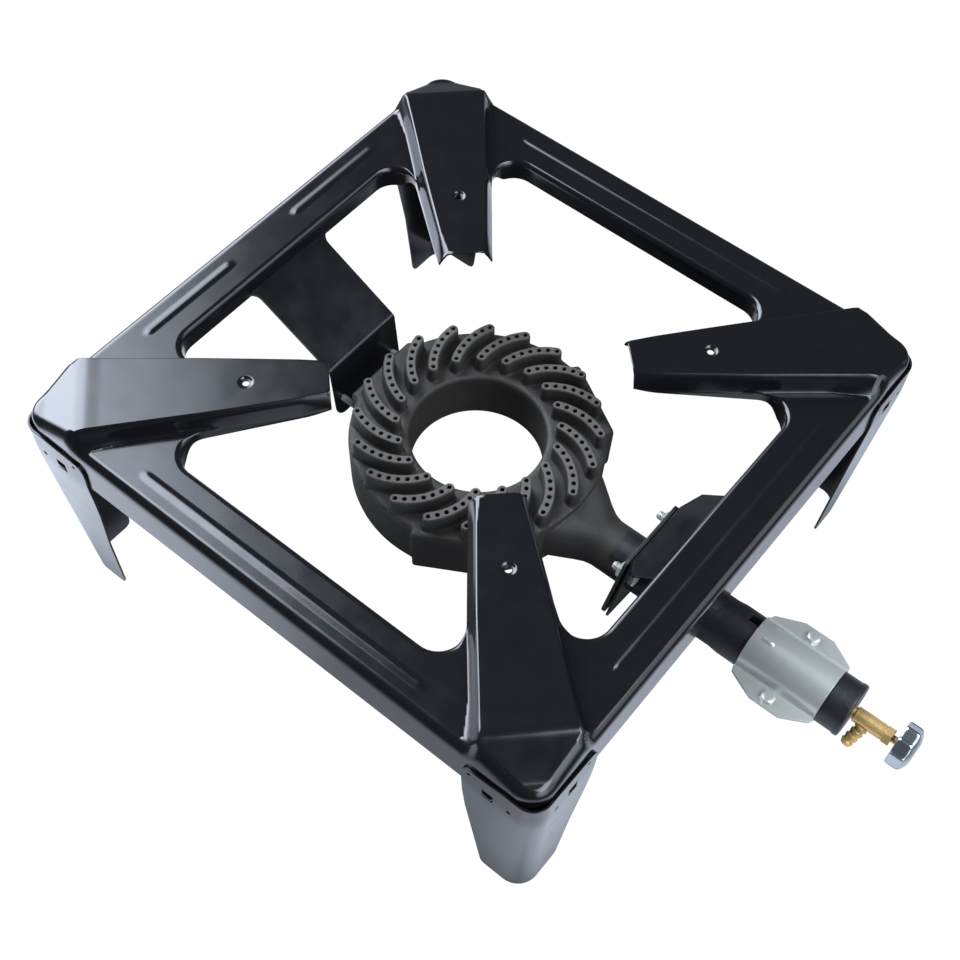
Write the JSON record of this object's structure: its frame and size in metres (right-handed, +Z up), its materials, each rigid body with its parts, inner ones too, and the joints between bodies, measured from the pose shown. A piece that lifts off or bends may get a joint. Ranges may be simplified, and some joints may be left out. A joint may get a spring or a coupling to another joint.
{
  "type": "propane burner stand",
  "caption": "Square pressed-steel gas stand on sheet legs with raised pot arms, a cast-iron ring burner, sliding air sleeve and brass needle valve.",
  "frame": {"origin": "centre of the square that the four feet stand on, on the floor", "axes": "+X to the right, +Y to the back, +Z up; the mixing tube and valve leave towards -Y"},
  "size_m": [0.4042, 0.5386, 0.189],
  "materials": {
    "black_enamel": "gloss",
    "burner_iron": "rough casting",
    "zinc": "zinc plated",
    "brass": "turned",
    "chrome": "polished",
    "seal": "matt",
    "packing": "matt"
  },
  "bodies": {
    "stand": {"frame": "black_enamel", "leg_front_left": "black_enamel", "leg_front_right": "black_enamel", "leg_rear_left": "black_enamel", "leg_rear_right": "black_enamel", "front_bracket": "black_enamel", "clip_bolts": "zinc", "clip_nuts": "zinc", "burner": "burner_iron", "rear_screws": "zinc", "valve_body": "brass", "jet": "brass", "gland_packing": "packing", "gland_nut": "brass"},
    "air_sleeve": {"sleeve_upper": "zinc", "sleeve_lower": "zinc", "sleeve_screws": "zinc", "sleeve_nuts": "zinc"},
    "stem": {"stem_seal": "seal"},
    "handwheel": {"spindle": "brass", "knob": "chrome", "knob_nut": "zinc"}
  },
  "joints": [
    {"name": "air_slide", "type": "slide", "parent": "stand", "child": "air_sleeve", "axis": [0, 1, 0], "range_m": [-0.012, 0.02]},
    {"name": "stem_slide", "type": "slide", "parent": "stand", "child": "stem", "axis": [0, -1, 0], "range_m": [0, 0.0015]},
    {"name": "knob_turn", "type": "hinge", "parent": "stem", "child": "handwheel", "pos_m": [0, -0.324, 0.0925], "axis": [0, -1, 0], "range_deg": [0, 540]}
  ],
  "couplings": [
    {"joint": "stem_slide", "follows": "knob_turn", "m_per_rad": 0.000159}
  ]
}
